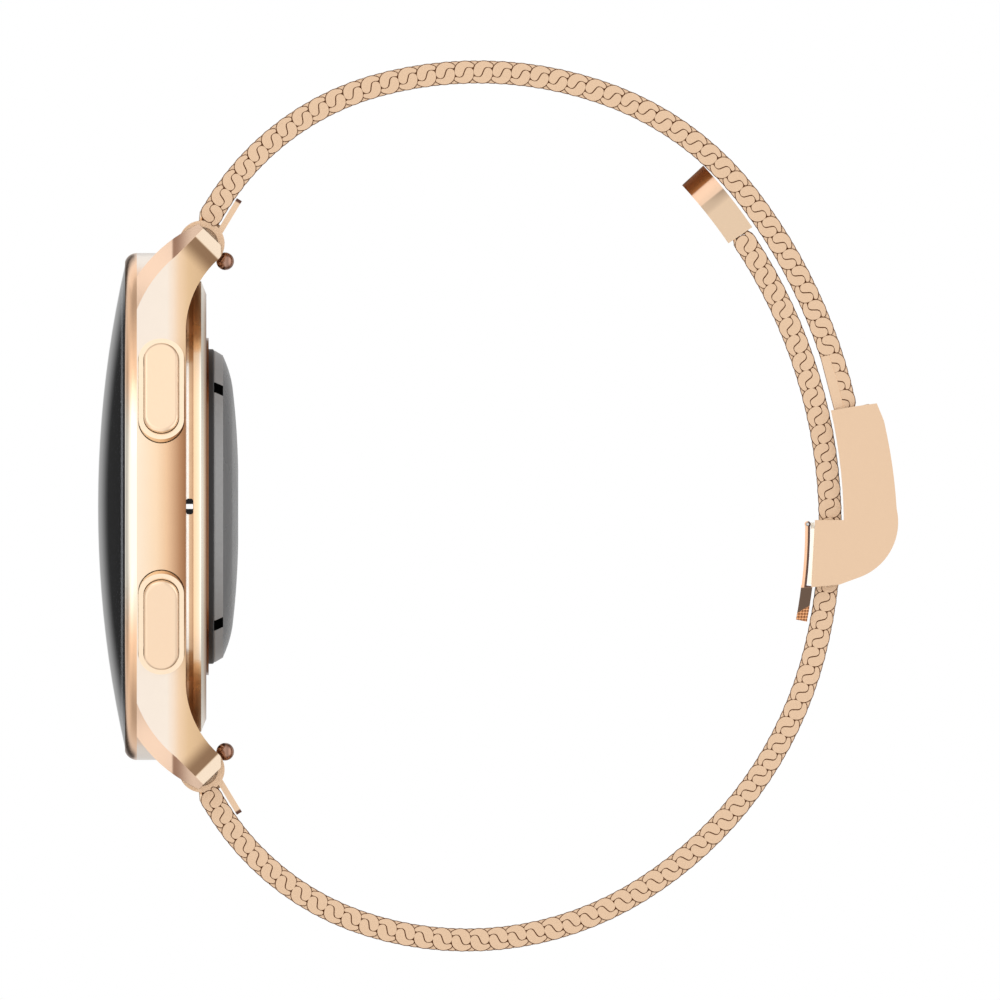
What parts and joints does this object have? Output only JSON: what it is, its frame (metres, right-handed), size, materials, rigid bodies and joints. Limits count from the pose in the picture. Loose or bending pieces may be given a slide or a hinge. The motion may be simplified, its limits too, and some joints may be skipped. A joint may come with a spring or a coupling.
{
  "type": "smartwatch",
  "caption": "Round smartwatch, case with domed glass, wrist sensor and two side pushers, on a woven metal band with quick-release bars and a fold-over slide clasp.",
  "frame": {"origin": "middle of the flat on the wrist sensor's lens", "axes": "+X to 3 o'clock, where the pushers are; +Y away from the dial, into the wrist; +Z to 12 o'clock"},
  "size_m": [0.043, 0.0679, 0.0756],
  "materials": {
    "polished_gold": "polished rose gold coated stainless steel",
    "satin_gold": "satin rose gold coated stainless steel",
    "dark_gold": "dark polished rose gold coated steel",
    "mesh_gold": "woven rose gold coated steel wire",
    "cover_glass": "black backed glass, polished",
    "display": "unlit display",
    "black_plastic": "moulded, matt",
    "grey_plastic": "moulded, satin",
    "sensor_lens": "tinted lens, polished",
    "seal_rubber": "moulded silicone",
    "circuit_board": "solder resist",
    "flex": "polyimide",
    "battery_foil": "laminated foil",
    "tinned_steel": "tinned",
    "spring_steel": "drawn",
    "tungsten": "sintered",
    "emitter": "clear resin"
  },
  "bodies": {
    "case": {"case_band": "polished_gold", "bezel_ring": "polished_gold", "cover_glass": "cover_glass", "glass_adhesive": "black_plastic", "display_panel": "display", "display_flex": "flex", "inner_frame": "black_plastic", "main_board": "circuit_board", "board_shields": "tinned_steel", "battery": "battery_foil", "haptic_case": "tinned_steel", "speaker": "black_plastic", "microphone_bush": "tinned_steel", "back_cover": "polished_gold", "back_seal": "seal_rubber", "back_screws": "tinned_steel", "sensor_base": "black_plastic", "sensor_bezel": "grey_plastic", "sensor_inserts": "black_plastic", "sensor_lens": "sensor_lens", "sensor_board": "circuit_board", "optical_emitters": "emitter", "charging_magnets": "tinned_steel", "pusher_collars": "polished_gold", "pusher_seals": "seal_rubber", "key_switches": "tinned_steel", "key_flex": "flex", "upper_pusher_spring": "spring_steel", "lower_pusher_spring": "spring_steel"},
    "upper_pusher": {"upper_pusher": "satin_gold", "upper_pusher_clip": "spring_steel"},
    "lower_pusher": {"lower_pusher": "satin_gold", "lower_pusher_clip": "spring_steel"},
    "haptic_rotor": {"haptic_rotor": "tungsten"},
    "strap_12": {"strap_12_mesh": "mesh_gold", "strap_12_end_piece": "satin_gold", "strap_12_bar_tube": "spring_steel", "strap_12_bar_spring": "spring_steel", "strap_12_clasp_end": "satin_gold", "clasp_pin": "spring_steel"},
    "strap_6": {"strap_6_mesh": "mesh_gold", "strap_6_end_piece": "satin_gold", "strap_6_bar_tube": "spring_steel", "strap_6_bar_spring": "spring_steel", "strap_6_tip": "satin_gold"},
    "release_12": {"strap_12_release_pin": "dark_gold"},
    "release_6": {"strap_6_release_pin": "dark_gold"},
    "clasp_cover": {"clasp_cover": "satin_gold", "clasp_hook": "satin_gold"},
    "slider": {"slider_frame": "polished_gold", "slider_pin": "spring_steel"},
    "slider_lever": {"slider_lever": "dark_gold"}
  },
  "joints": [
    {"name": "upper_pusher_press", "type": "slide", "parent": "case", "child": "upper_pusher", "axis": [-0.887, 0, -0.4617], "range_m": [0, 0.00045], "stiffness_N_per_m": 1500, "springref_m": -0.0006, "deforming": ["upper_pusher_spring"]},
    {"name": "lower_pusher_press", "type": "slide", "parent": "case", "child": "lower_pusher", "axis": [-0.887, 0, 0.4617], "range_m": [0, 0.00045], "stiffness_N_per_m": 1500, "springref_m": -0.0006, "deforming": ["lower_pusher_spring"]},
    {"name": "haptic_spin", "type": "hinge", "parent": "case", "child": "haptic_rotor", "pos_m": [0.0092, -0.006, -0.0054], "axis": [0, 1, 0], "continuous": true},
    {"name": "strap_12_swing", "type": "hinge", "parent": "case", "child": "strap_12", "pos_m": [0, -0.0031, 0.0223], "axis": [1, 0, 0], "range_deg": [0, 60]},
    {"name": "strap_6_swing", "type": "hinge", "parent": "case", "child": "strap_6", "pos_m": [0, -0.0031, -0.0223], "axis": [1, 0, 0], "range_deg": [-18, 0]},
    {"name": "clasp_open", "type": "hinge", "parent": "strap_12", "child": "clasp_cover", "pos_m": [0, 0.0534, 0.0079], "axis": [1, 0, 0], "range_deg": [0, 155]},
    {"name": "release_12_pull", "type": "slide", "parent": "strap_12", "child": "release_12", "axis": [-1, 0, 0], "range_m": [0, 0.001], "stiffness_N_per_m": 900, "springref_m": -0.001, "deforming": ["strap_12_bar_spring"]},
    {"name": "release_6_pull", "type": "slide", "parent": "strap_6", "child": "release_6", "axis": [-1, 0, 0], "range_m": [0, 0.001], "stiffness_N_per_m": 900, "springref_m": -0.001, "deforming": ["strap_6_bar_spring"]},
    {"name": "slider_adjust", "type": "hinge", "parent": "strap_6", "child": "slider", "pos_m": [0, 0.0064, -0.00168], "axis": [1, 0, 0], "range_deg": [0, 9.16]},
    {"name": "slider_lever_open", "type": "hinge", "parent": "slider", "child": "slider_lever", "pos_m": [0, 0.04829, -0.0015], "axis": [1, 0, 0], "range_deg": [-75, 0]}
  ],
  "couplings": [
    {"joint": "clasp_open", "follows": "strap_12_swing", "ratio": 2.5},
    {"joint": "strap_6_swing", "follows": "strap_12_swing", "ratio": -0.3}
  ]
}
